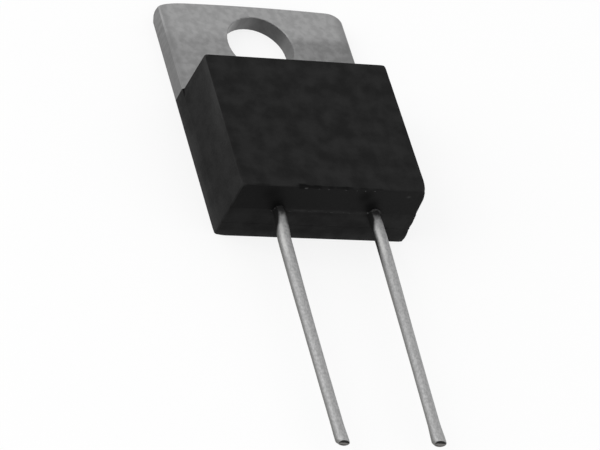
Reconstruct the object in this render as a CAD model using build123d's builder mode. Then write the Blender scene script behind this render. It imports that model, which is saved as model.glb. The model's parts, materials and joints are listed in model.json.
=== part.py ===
from build123d import *
from math import radians, tan
import os

# Power resistor in a flat moulded case, with a metal mounting tab and two wire leads.
#
# The part lies on its mounting face: that face is z = 0 and +Z points out of the front.
# +Y runs from the leads to the free end of the tab, and +X is to the right, seen from
# the front. The origin is the centre of the mounting hole, in the mounting face.
# All sizes are in millimetres and all angles in degrees.

# ---- Mounting tab: stamped copper, its front edges rounded by the punch ----
tab_width = 10.16
tab_thickness = 0.93
tab_reach = 2.51  # hole centre to the free end
tab_corner_radius = 0.95
hole_diameter = 3.55
punch_rollover = 0.1  # radius that the punch leaves on the outer front edges
hole_rollover = 0.05  # the same round the hole
side_border = 0.93  # moulding beside the bare metal of the mounting face
end_border = 0.9  # the same at the lead end
anchor_lip_width = 0.3  # half-thick lip that the moulding grips from behind
anchor_lip_thickness = 0.45

# ---- Moulded case: drafted towards its front face ----
case_thickness = 3.6  # mounting face to front face
case_face_width = 9.82
case_face_height = 8.03
hole_to_case = 3.24  # hole centre to the upper edge of the front face
side_draft = 2.25
tab_end_draft = 0.5
lead_end_draft = 3.2
witness_step = 0.045  # ledge that the mould insert round the leads leaves
case_corner_radius = 0.1
case_edge_radius = 0.06
case_ledge_radius = 0.04  # along the ledge where the sides step in above the tab

# ---- Resistor element: a film printed on a ceramic plate, soldered to the tab ----
plate_solder_thickness = 0.08
plate_thickness = 0.635
plate_side_margin = 0.45  # plate beyond the outer edge of each termination
plate_end_margin = 0.6  # bare metal between the plate and each end of the inner tab
print_margin = 0.2  # bare ceramic at the ends of the prints
termination_width = 1.3
termination_thickness = 0.03
film_thickness = 0.02
trim_cut_width = 0.12  # laser cut that sets the resistance
trim_cut_length = 1.9
glaze_thickness = 0.05
glaze_margin = 0.1  # film left bare beside each termination

# ---- Leads: tinned copper wire, set back and inwards a little below the case ----
lead_diameter = 0.59
lead_length = 13.07  # out of the case
lead_pitch_at_case = 5.25
lead_pitch_at_tips = 5.01
lead_set_back = 0.535  # how far the tips drop towards the mounting plane
lead_bend_distance = 0.4  # case to the start of that lean
lead_bend_radius = 6.0
lead_tip_radius = 0.06
lead_lap = 2.1  # wire soldered down on its termination
lead_flat_depth = 0.04  # coined flat under the soldered end
lead_flat_overrun = 0.3
lead_solder_margin = 0.1
lead_solder_height = 0.34
lead_solder_taper = 18

# ---- Levels above the mounting face ----
plate_base_z = tab_thickness + plate_solder_thickness
print_z = plate_base_z + plate_thickness
termination_top_z = print_z + termination_thickness
film_top_z = print_z + film_thickness
lead_radius = lead_diameter / 2
lead_z = termination_top_z + lead_radius - lead_flat_depth

# ---- Stations along the case, from the tab end to the lead end ----
case_shoulder_y = -hole_to_case + (case_thickness - tab_thickness) * tan(radians(tab_end_draft))
face_top_y = -hole_to_case
face_bottom_y = face_top_y - case_face_height
witness_front_y = face_bottom_y - (case_thickness - lead_z) * tan(radians(lead_end_draft))
witness_back_y = witness_front_y - witness_step
case_bottom_y = witness_back_y - lead_z * tan(radians(lead_end_draft))
pad_bottom_y = case_bottom_y + end_border
plate_top_y = case_shoulder_y - plate_end_margin
plate_bottom_y = pad_bottom_y + plate_end_margin
print_top_y = plate_top_y - print_margin
print_bottom_y = plate_bottom_y + print_margin
lead_inner_y = plate_bottom_y + lead_lap
lead_bend_y = witness_back_y - lead_bend_distance
lead_tip_y = witness_back_y - lead_length

# ---- Widths ----
case_root_width = case_face_width + 2 * (case_thickness - tab_thickness) * tan(radians(side_draft))
pad_width = tab_width - 2 * side_border
plate_width = lead_pitch_at_case + termination_width + 2 * plate_side_margin
film_width = lead_pitch_at_case - termination_width

os.makedirs("parts", exist_ok=True)


def band(width, top_y, bottom_y):
    """Draw a rectangle centred on the part's midline between two stations."""
    with Locations((0, (top_y + bottom_y) / 2)):
        Rectangle(width, top_y - bottom_y)


def is_upright(edge):
    """Tell whether an edge rises from the mounting face, drafted or not."""
    return abs(edge.tangent_at(0.5).Z) > 0.9


# Mounting tab: the head with its hole, then the narrower inner end under the case
with BuildPart() as mounting_tab:
    with BuildSketch() as head_outline:
        band(tab_width, tab_reach, case_shoulder_y)
        fillet(head_outline.vertices().group_by(Axis.Y)[-1], tab_corner_radius)
    extrude(amount=tab_thickness)
    Hole(hole_diameter / 2)
    front_rims = mounting_tab.faces().sort_by(Axis.Z)[-1].edges()
    outer_rims = front_rims.filter_by(lambda rim: not rim.is_closed).sort_by(Axis.Y)[1:]
    fillet(front_rims.filter_by(lambda rim: rim.is_closed), hole_rollover)
    fillet(outer_rims, punch_rollover)
    with BuildSketch():
        band(pad_width, case_shoulder_y, pad_bottom_y)
    extrude(amount=tab_thickness)
    with BuildSketch(Plane.XY.offset(tab_thickness)):
        band(pad_width + 2 * anchor_lip_width, case_shoulder_y, pad_bottom_y - anchor_lip_width)
    extrude(amount=-anchor_lip_thickness)
mounting_tab.part.label = "mounting_tab"
export_step(mounting_tab.part, "parts/mounting_tab.step")

# Solder that carries the ceramic plate and leads its heat into the tab
with BuildPart() as plate_solder:
    with BuildSketch(Plane.XY.offset(tab_thickness)):
        band(plate_width, plate_top_y, plate_bottom_y)
    extrude(amount=plate_solder_thickness)
plate_solder.part.label = "plate_solder"
export_step(plate_solder.part, "parts/plate_solder.step")

# Ceramic plate that insulates the element from the tab
with BuildPart() as ceramic_plate:
    with BuildSketch(Plane.XY.offset(plate_base_z)):
        band(plate_width, plate_top_y, plate_bottom_y)
    extrude(amount=plate_thickness)
ceramic_plate.part.label = "ceramic_plate"
export_step(ceramic_plate.part, "parts/ceramic_plate.step")

# Resistive film between the terminations, with its trim cut from the tab side
with BuildPart() as resistive_film:
    with BuildSketch(Plane.XY.offset(print_z)):
        band(film_width, print_top_y, print_bottom_y)
    extrude(amount=film_thickness)
    with BuildSketch(Plane.XY.offset(print_z)):
        band(trim_cut_width, print_top_y, print_top_y - trim_cut_length)
    extrude(amount=film_thickness, mode=Mode.SUBTRACT)
resistive_film.part.label = "resistive_film"
export_step(resistive_film.part, "parts/resistive_film.step")

# Glass glaze that seals the film and fills the trim cut
with BuildPart() as film_glaze:
    with BuildSketch(Plane.XY.offset(film_top_z)):
        band(film_width - 2 * glaze_margin, print_top_y, print_bottom_y)
    extrude(amount=glaze_thickness)
    with BuildSketch(Plane.XY.offset(print_z)):
        band(trim_cut_width, print_top_y, print_top_y - trim_cut_length)
    extrude(amount=film_thickness)
film_glaze.part.label = "film_glaze"
export_step(film_glaze.part, "parts/film_glaze.step")

# Each side has a termination strip, a lead soldered on it, and the solder itself
sealed_pieces = [mounting_tab, plate_solder, ceramic_plate, resistive_film, film_glaze]
for side, sign in (("left", -1), ("right", 1)):
    case_x = sign * lead_pitch_at_case / 2
    tip_x = sign * lead_pitch_at_tips / 2

    with BuildPart() as termination:
        with BuildSketch(Plane.XY.offset(print_z)):
            with Locations((case_x, (print_top_y + print_bottom_y) / 2)):
                Rectangle(termination_width, print_top_y - print_bottom_y)
        extrude(amount=termination_thickness)
    termination.part.label = f"termination_{side}"
    export_step(termination.part, f"parts/termination_{side}.step")

    with BuildPart() as lead:
        with BuildLine():
            FilletPolyline(
                (case_x, lead_inner_y, lead_z),
                (case_x, lead_bend_y, lead_z),
                (tip_x, lead_tip_y, lead_z - lead_set_back),
                radius=lead_bend_radius,
            )
        with BuildSketch(Plane((case_x, lead_inner_y, lead_z), z_dir=(0, -1, 0))):
            Circle(lead_radius)
        sweep()
        fillet(lead.faces().sort_by(Axis.Y)[0].edges(), lead_tip_radius)
        flat_end_y = plate_bottom_y - lead_flat_overrun
        with BuildSketch(Plane.XY.offset(termination_top_z)):
            with Locations((case_x, (lead_inner_y + flat_end_y) / 2)):
                Rectangle(lead_diameter, lead_inner_y - flat_end_y)
        extrude(amount=-lead_flat_depth, mode=Mode.SUBTRACT)
    lead.part.label = f"lead_{side}"
    export_step(lead.part, f"parts/lead_{side}.step")

    # The solder climbs to about the middle of the wire and closes over its inner end
    with BuildPart() as lead_solder:
        solder_top_y = lead_inner_y + lead_radius
        with BuildSketch(Plane.XY.offset(termination_top_z)):
            with Locations((case_x, (solder_top_y + print_bottom_y) / 2)):
                RectangleRounded(
                    termination_width - 2 * lead_solder_margin,
                    solder_top_y - print_bottom_y,
                    lead_radius,
                )
        extrude(amount=lead_solder_height, taper=lead_solder_taper)
        add(lead.part, mode=Mode.SUBTRACT)
    lead_solder.part.label = f"lead_solder_{side}"
    export_step(lead_solder.part, f"parts/lead_solder_{side}.step")

    sealed_pieces += [termination, lead, lead_solder]

# Moulded case, upper courses: one above and one below the leads' middle plane, each
# drafted towards the front. The ledge between them runs across the lead end alone.
case_courses = []
for base_z, top_z, course_bottom_y in (
    (tab_thickness, lead_z, case_bottom_y + tab_thickness * tan(radians(lead_end_draft))),
    (lead_z, case_thickness, witness_front_y),
):
    course_plane = Plane.XY.offset(base_z)
    narrowing = 2 * (base_z - tab_thickness) * tan(radians(side_draft))
    setback = (base_z - tab_thickness) * tan(radians(tab_end_draft))
    with BuildPart() as course:
        with BuildSketch(course_plane):
            band(case_root_width - narrowing, case_shoulder_y - setback, course_bottom_y)
        extrude(amount=top_z - base_z)
        draft(course.faces().filter_by(Axis.X), course_plane, side_draft)
        draft(course.faces().sort_by(Axis.Y)[-1], course_plane, tab_end_draft)
        draft(course.faces().sort_by(Axis.Y)[0], course_plane, lead_end_draft)
        fillet(course.edges().filter_by(is_upright), case_corner_radius)
    case_courses.append(course.part)

# Moulded case: the lowest course is flush with the tab's edges and as thick as the tab.
# Its cavity is the exact shape of what is moulded in.
with BuildPart() as moulded_case:
    with BuildSketch():
        band(tab_width, case_shoulder_y, case_bottom_y)
    extrude(amount=tab_thickness)
    draft(moulded_case.faces().sort_by(Axis.Y)[0], Plane.XY, lead_end_draft)
    fillet(moulded_case.edges().filter_by(is_upright).group_by(Axis.Y)[0], case_corner_radius)
    ledge_rims = moulded_case.edges().filter_by(Axis.Y).group_by(Axis.Z)[-1]
    fillet(ledge_rims, case_ledge_radius)
    add(case_courses)
    fillet(moulded_case.faces().sort_by(Axis.Z)[-1].edges(), case_edge_radius)
    for piece in sealed_pieces:
        add(piece.part, mode=Mode.SUBTRACT)
moulded_case.part.label = "moulded_case"
export_step(moulded_case.part, "parts/moulded_case.step")
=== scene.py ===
import json
import logging
import math
from dataclasses import dataclass, field
from enum import Enum
from typing import Any

import bmesh
import bpy
from mathutils import Matrix, Vector, noise
from mathutils.bvhtree import BVHTree
from mathutils.kdtree import KDTree


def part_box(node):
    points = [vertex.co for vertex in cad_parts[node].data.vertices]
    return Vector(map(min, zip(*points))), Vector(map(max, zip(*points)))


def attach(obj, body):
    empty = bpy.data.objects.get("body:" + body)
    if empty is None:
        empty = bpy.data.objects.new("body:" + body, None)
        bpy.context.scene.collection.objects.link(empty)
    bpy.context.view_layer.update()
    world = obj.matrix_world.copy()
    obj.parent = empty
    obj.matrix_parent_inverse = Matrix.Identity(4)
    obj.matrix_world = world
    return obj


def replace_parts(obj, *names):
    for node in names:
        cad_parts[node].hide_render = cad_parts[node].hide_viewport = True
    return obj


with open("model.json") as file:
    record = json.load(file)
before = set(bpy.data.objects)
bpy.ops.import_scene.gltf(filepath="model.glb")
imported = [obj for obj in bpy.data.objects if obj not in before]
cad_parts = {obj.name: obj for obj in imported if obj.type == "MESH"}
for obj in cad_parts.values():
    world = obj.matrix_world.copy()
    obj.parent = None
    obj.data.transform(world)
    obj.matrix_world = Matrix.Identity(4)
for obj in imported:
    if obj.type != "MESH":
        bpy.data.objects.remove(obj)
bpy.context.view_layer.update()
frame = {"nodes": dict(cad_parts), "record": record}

# Looks of a power resistor that lies on its mounting face: a black moulded case, a plated
# mounting tab with its hole, and two tinned wire leads. The frame is the CAD model's own,
# in metres: z = 0 is the mounting face, +Z is out of the front and +Y is towards the tab.

LOG = logging.getLogger("power_resistor")
MM = 1e-3
SAME_PLACE = 1e-7  # metres within which two points are one
HAIR = 1e-6  # metres that clear a face without leaving it
TURNED = 0.5  # how far a normal has to point along an axis to count as facing that way
Inputs = dict[str | int, Any]
Limits = tuple[float, ...]
Material = bpy.types.Material
Piece = bpy.types.Object
Socket = bpy.types.NodeSocket
Tree = bpy.types.NodeTree

# The kinds of node that come up most, and the settings that two of them always have here.
# A fade takes a value, the two limits that it runs between and the two results at them.
MATH = "ShaderNodeMath"
VECTOR = "ShaderNodeVectorMath"
FADE = "ShaderNodeMapRange"
MIX = "ShaderNodeMix"
HOUSE_SETTINGS = {FADE: {"interpolation_type": "SMOOTHSTEP"}, MIX: {"data_type": "RGBA"}}


class Side(Enum):
    """The two leads, by the side they stand on seen from the front."""

    LEFT = "left"
    RIGHT = "right"


class Axis(Enum):
    """Axes of the part, as indices into a vector."""

    X = 0
    Y = 1
    Z = 2


# ---------------------------------------------------------------- colours and nodes


def linear(code: str) -> tuple[float, float, float, float]:
    """Turn an sRGB hex colour into linear light.

    Args:
        code: Six hex digits, with or without a leading hash.

    Returns:
        Red, green, blue and an alpha of 1.
    """
    digits = code.lstrip("#")
    parts = [int(digits[i : i + 2], 16) / 255 for i in (0, 2, 4)]
    red, green, blue = (c / 12.92 if c <= 0.04045 else ((c + 0.055) / 1.055) ** 2.4 for c in parts)
    return red, green, blue, 1.0


def add_node(tree: Tree, kind: str, inputs: Inputs | None = None, **settings: Any) -> bpy.types.Node:
    """Add a node with its settings, socket values and links.

    Args:
        tree: The node tree that receives the node.
        kind: Blender's type name of the node.
        inputs: Socket name or index to a value, or to the socket that feeds it.
        settings: Properties of the node itself.

    Returns:
        The new node.
    """
    node = tree.nodes.new(kind)
    for name, value in {**HOUSE_SETTINGS.get(kind, {}), **settings}.items():
        setattr(node, name, value)
    for key, value in (inputs or {}).items():
        if isinstance(value, Socket):
            tree.links.new(value, node.inputs[key])
        else:
            node.inputs[key].default_value = value
    return node


def new_material(name: str) -> tuple[Material, Tree]:
    """Make an empty node material.

    Args:
        name: Its name.

    Returns:
        The material and its tree.
    """
    material = bpy.data.materials.new(name)
    material.use_nodes = True
    material.node_tree.nodes.clear()
    return material, material.node_tree


def finish_material(tree: Tree, **inputs: Any) -> None:
    """Add the shader and the output of a material.

    Args:
        tree: The material's tree.
        inputs: Shader sockets by their names, with underscores for spaces.
    """
    named = {name.replace("_", " "): value for name, value in inputs.items()}
    shader = add_node(tree, "ShaderNodeBsdfPrincipled", named)
    add_node(tree, "ShaderNodeOutputMaterial", {"Surface": shader.outputs[0]})


def product(tree: Tree, *factors: Any) -> Any:
    """Multiply values or sockets.

    Args:
        tree: The tree that the sockets belong to.
        factors: What is multiplied, one after another.

    Returns:
        The socket of the product, or the factor itself where there is only one.
    """
    result = factors[0]
    for factor in factors[1:]:
        result = add_node(tree, MATH, {0: result, 1: factor}, operation="MULTIPLY").outputs[0]
    return result


def coordinates(tree: Tree) -> dict[Axis, Socket]:
    """Split the surface point into its coordinates in the part's own frame.

    Args:
        tree: The material's tree.

    Returns:
        Each axis's coordinate, in metres.
    """
    place = add_node(tree, "ShaderNodeTexCoord").outputs["Object"]
    parts = add_node(tree, "ShaderNodeSeparateXYZ", {0: place}).outputs
    return {axis: parts[axis.value] for axis in Axis}


def facing(tree: Tree) -> dict[Axis, Socket]:
    """Split the surface's outward direction into its parts along the axes.

    Args:
        tree: The material's tree.

    Returns:
        Each axis's part, from -1 to 1.
    """
    normal = add_node(tree, "ShaderNodeNewGeometry").outputs["Normal"]
    parts = add_node(tree, "ShaderNodeSeparateXYZ", {0: normal}).outputs
    return {axis: parts[axis.value] for axis in Axis}


def noise_field(tree: Tree, grain_mm: float, detail: float, stretch: Limits = (1, 1, 1),
                shift: float = 0.0) -> Socket:
    """Add a noise pattern whose grain has a real size.

    Args:
        tree: The material's tree.
        grain_mm: Size of the largest blotches.
        detail: Octaves of finer grain.
        stretch: How many times longer the grain is along each axis.
        shift: Shift of the pattern, so that two fields differ.

    Returns:
        The noise value, about 0.5 on average.
    """
    place = add_node(tree, "ShaderNodeTexCoord").outputs["Object"]
    scale = [1 / (grain_mm * MM * factor) for factor in stretch]
    mapping = add_node(tree, "ShaderNodeMapping", {
        "Vector": place, "Scale": scale, "Location": (shift, shift, shift)})
    pattern = add_node(tree, "ShaderNodeTexNoise", {
        "Vector": mapping.outputs[0], "Scale": 1.0, "Detail": detail})
    return pattern.outputs["Fac"]


def mottle(tree: Tree, grain_mm: float, detail: float, stretch: Limits = (1, 1, 1), shift: float = 0.0,
           limits: Limits = (0.3, 0.7, 0.0, 1.0)) -> Socket:
    """Add a noise field whose contrast is raised: the limits are those of a fade."""
    plain = noise_field(tree, grain_mm, detail, stretch, shift)
    return add_node(tree, FADE, {0: plain, **dict(enumerate(limits, 1))}).outputs[0]


@dataclass
class Layers:
    """The colour of a finish, built up in layers that each cover the ones below by a mask."""

    tree: Tree
    colour: Any  # of the lowest layer, then of all

    def lay(self, tone: Any, *masks: Any) -> None:
        """Lay a tone over the colour.

        Args:
            tone: A hex colour, or a socket that gives one.
            masks: Shares of cover, which are multiplied.
        """
        over = linear(tone) if isinstance(tone, str) else tone
        share = product(self.tree, *masks)
        self.colour = add_node(self.tree, MIX, {0: share, 6: self.colour, 7: over}).outputs[2]


# ---------------------------------------------------------------- sizes read from the frame


@dataclass(frozen=True)
class PartShape:
    """Stations of the part that the finishes and the added pieces refer to, in metres."""

    half_width: float  # of the tab and of the case beside it
    tab_top: float
    tab_thickness: float
    hole_radius: float
    face_half_width: float  # flat of the case's front face
    face_top: float
    face_bottom: float
    front: float
    shoulder: float
    case_bottom: float

    @classmethod
    def read(cls) -> "PartShape":
        """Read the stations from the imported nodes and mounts.

        Returns:
            The stations, in metres.
        """
        tab_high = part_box("mounting_tab")[1]
        case_low, case_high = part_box("moulded_case")
        corners = frame["nodes"]["moulded_case"].data.vertices
        flat = [v.co for v in corners if v.co.z > case_high.z - SAME_PLACE]
        hole = next(mount for mount in frame["record"]["mounts"] if mount["name"] == "mounting_hole")
        return cls(
            half_width=tab_high.x, tab_top=tab_high.y, tab_thickness=tab_high.z,
            hole_radius=hole["dims"]["r_mm"] * MM, face_half_width=max(co.x for co in flat),
            face_top=max(co.y for co in flat), face_bottom=min(co.y for co in flat),
            front=case_high.z, shoulder=case_high.y, case_bottom=case_low.y)


@dataclass(frozen=True)
class LeadLine:
    """Centre line of one lead: straight out of the case, then a slight lean."""

    start: Vector
    bend: float  # y at which the lean starts
    slope: Vector  # sideways and downward run for each metre along the lead
    tip: float  # y of the cut end
    radius: float

    @classmethod
    def read(cls, side: Side) -> "LeadLine":
        """Read a lead's centre line from its node and its mount.

        Args:
            side: Which lead.

        Returns:
            The centre line, in metres.
        """
        low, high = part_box(f"lead_{side.value}")
        mount = next(m for m in frame["record"]["mounts"] if m["name"] == f"lead_{side.value}_end")
        radius = mount["dims"]["r_mm"] * MM
        middle, axis = Vector(mount["pos_m"]), Vector(mount["axis"])
        level = high.z - radius
        bend = middle + axis * (level - middle.z) / axis.z
        slope = Vector((axis.x, 0.0, axis.z)) / abs(axis.y)
        start = Vector((bend.x, high.y, level))
        return cls(start, bend.y, slope, low.y + radius * abs(axis.z), radius)


# ---------------------------------------------------------------- finishes


@dataclass(frozen=True)
class Patch:
    """A patch of another tone, as an ellipsoid of the part's space, in millimetres."""

    centre: tuple[float, float, float]
    radii: tuple[float, float, float]

    def mask(self, tree: Tree) -> Socket:
        """Mask the patch in a material.

        Args:
            tree: The material's tree.

        Returns:
            The mask: 1 in the middle of the patch, fading to 0 at its skin.
        """
        place = add_node(tree, "ShaderNodeTexCoord").outputs["Object"]
        centre, radii = Vector(self.centre) * MM, Vector(self.radii) * MM
        offset = add_node(tree, VECTOR, {0: place, 1: centre}, operation="SUBTRACT").outputs[0]
        scaled = add_node(tree, VECTOR, {0: offset, 1: radii}, operation="DIVIDE").outputs[0]
        reach = add_node(tree, VECTOR, {0: scaled}, operation="LENGTH").outputs["Value"]
        return add_node(tree, FADE, {0: reach, 1: 0.0, 2: 1.0, 3: 1.0, 4: 0.0}).outputs[0]


@dataclass(frozen=True)
class MouldedEpoxy:
    """Silica-filled epoxy from a transfer mould: near black, matt, faintly clouded.

    The mould insert that shuts off the leads has its own, smoother surface, so the front
    half of the lead end is darker. Handling has greyed the edges. Shade is painted over the left
    side, across the lead end towards its left, into the chips and as the leads' shadows by their
    exits, and the paler patches and wider worn edges on the left side are painted sheen.
    """

    name: str = "epoxy_moulded"  # matt and near black
    base: str = "#181818"
    cloud: str = "#242424"
    insert: str = "#1a1a1a"
    # the insert's tone under the painted shade towards the left
    insert_painted_shade: str = "#121212"
    # painted shade: over the left side, across the lead end and as the leads' shadows
    painted_shade: str = "#0b0b0b"
    # edges worn paler by handling, and on the left side painted sheen
    lightened: str = "#303030"
    sheen_and_fleck: str = "#343434"  # painted sheen on the left side, also the fleck's paler grain
    # painted shade in the chips' hollows
    chip_shade: str = "#0d0d0d"
    # shares of painted shade on the left side and on the lead end
    left_painted_shade: float = 0.2
    lead_end_painted_shade: float = 0.3
    fleck_cover: float = 0.8
    roughness: float = 0.62
    roughness_swing: float = 0.06
    ior: float = 1.5
    specular: float = 0.05
    cloud_mm: float = 0.9
    sheen_mm: float = 0.7  # unevenness of the painted sheen patches
    rub_mm: float = 0.5  # unevenness of the rubbed edges
    grain_mm: float = 0.1  # filler grain, drawn coarser than the real 0.03 mm so that it shows
    grain_height_mm: float = 0.003
    insert_mm: Limits = (1.91, 1.96)  # heights between which the insert's surface begins
    shade_mm: Limits = (3.5, -4.8)  # x from which the painted shade on the lead end sets in, and where it is darkest
    turned: Limits = (-0.8, -0.95)  # how far a face has to be turned to count as a side
    # patches of painted sheen on the left side: on the lower strip, along the front edge and by the corner at
    # the lead end
    sheen_patches: tuple[Patch, ...] = (
        Patch((-5.1, -7.0, 0.1), (0.7, 2.8, 0.9)), Patch((-4.9, -4.6, 3.7), (0.8, 6.0, 1.5)),
        Patch((-5.1, -10.2, 0.1), (0.5, 2.8, 0.75)),
    )
    fleck: Patch = Patch((4.03, -11.3, 3.2), (0.17, 0.4, 0.14))  # a paler grain by the right corner
    # painted shadows of the leads on the insert, up and to the left of each exit
    lead_shadows: tuple[Patch, ...] = (
        Patch((-3.2, -11.3, 3.1), (0.75, 0.6, 0.65)),
        Patch((-2.7, -11.3, 2.4), (0.6, 0.6, 0.75)),
        Patch((1.75, -11.3, 3.1), (0.6, 0.6, 0.65)),
        Patch((2.3, -11.3, 2.5), (0.6, 0.6, 0.7)),
    )

    def build(self) -> Material:
        """Build the material: clouds, the insert's band, painted shade and shadows, painted sheen, worn edges
        and shaded chips.

        Returns:
            The material.
        """
        material, tree = new_material(self.name)
        layers = Layers(tree, linear(self.base))
        layers.lay(self.cloud, mottle(tree, self.cloud_mm, 5.0))
        place, turn = coordinates(tree), facing(tree)
        sides = dict(enumerate(self.turned, 1))
        lead_end = add_node(tree, FADE, {0: turn[Axis.Y], **sides}).outputs[0]
        left_side = add_node(tree, FADE, {0: turn[Axis.X], **sides}).outputs[0]
        # painted shade over the whole left side
        layers.lay(self.painted_shade, left_side, self.left_painted_shade)
        # painted sheen in patches on the left side
        uneven = mottle(tree, self.sheen_mm, 3.0, (1, 2.5, 1), 4.0, (0.3, 0.65, 0.25, 0.75))
        for sheen_patch in self.sheen_patches:
            layers.lay(self.sheen_and_fleck, left_side, sheen_patch.mask(tree), uneven)

        # painted shade across the lead end, darkest at its left, on the insert too
        light, dark = self.shade_mm
        shade = add_node(tree, FADE, {0: place[Axis.X], 1: light * MM, 2: dark * MM}).outputs[0]
        layers.lay(self.painted_shade, lead_end, shade, shade, self.lead_end_painted_shade)
        low, high = self.insert_mm
        above = add_node(tree, FADE, {0: place[Axis.Z], 1: low * MM, 2: high * MM}).outputs[0]
        on_insert = product(tree, lead_end, above)
        insert = Layers(tree, linear(self.insert))
        insert.lay(self.insert_painted_shade, shade)
        layers.lay(insert.colour, on_insert)
        # painted shadows of the leads beside their exits
        for painted_shade in self.lead_shadows:
            layers.lay(self.painted_shade, painted_shade.mask(tree), on_insert)
        layers.lay(self.sheen_and_fleck, self.fleck.mask(tree), lead_end, self.fleck_cover)

        rub, chip = (add_node(tree, "ShaderNodeAttribute", attribute_name=name).outputs["Fac"]
                     for name in ("rub", "chip"))
        layers.lay(self.lightened, rub, mottle(tree, self.rub_mm, 3.0, shift=3.0, limits=(0.3, 0.7, 0.3, 1.0)))
        # the chips get painted shade
        layers.lay(self.chip_shade, chip)
        grain = noise_field(tree, self.grain_mm, 2.0, shift=7.0)
        smoothest, roughest = self.roughness - self.roughness_swing, self.roughness + self.roughness_swing
        roughness = add_node(tree, FADE, {0: grain, 1: 0.2, 2: 0.8, 3: smoothest, 4: roughest}).outputs[0]
        bump = add_node(tree, "ShaderNodeBump", {
            "Height": grain, "Strength": 1.0, "Distance": self.grain_height_mm * MM})
        finish_material(tree, Base_Color=layers.colour, Roughness=roughness, IOR=self.ior,
                        Specular_IOR_Level=self.specular, Normal=bump.outputs[0])
        return material


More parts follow.
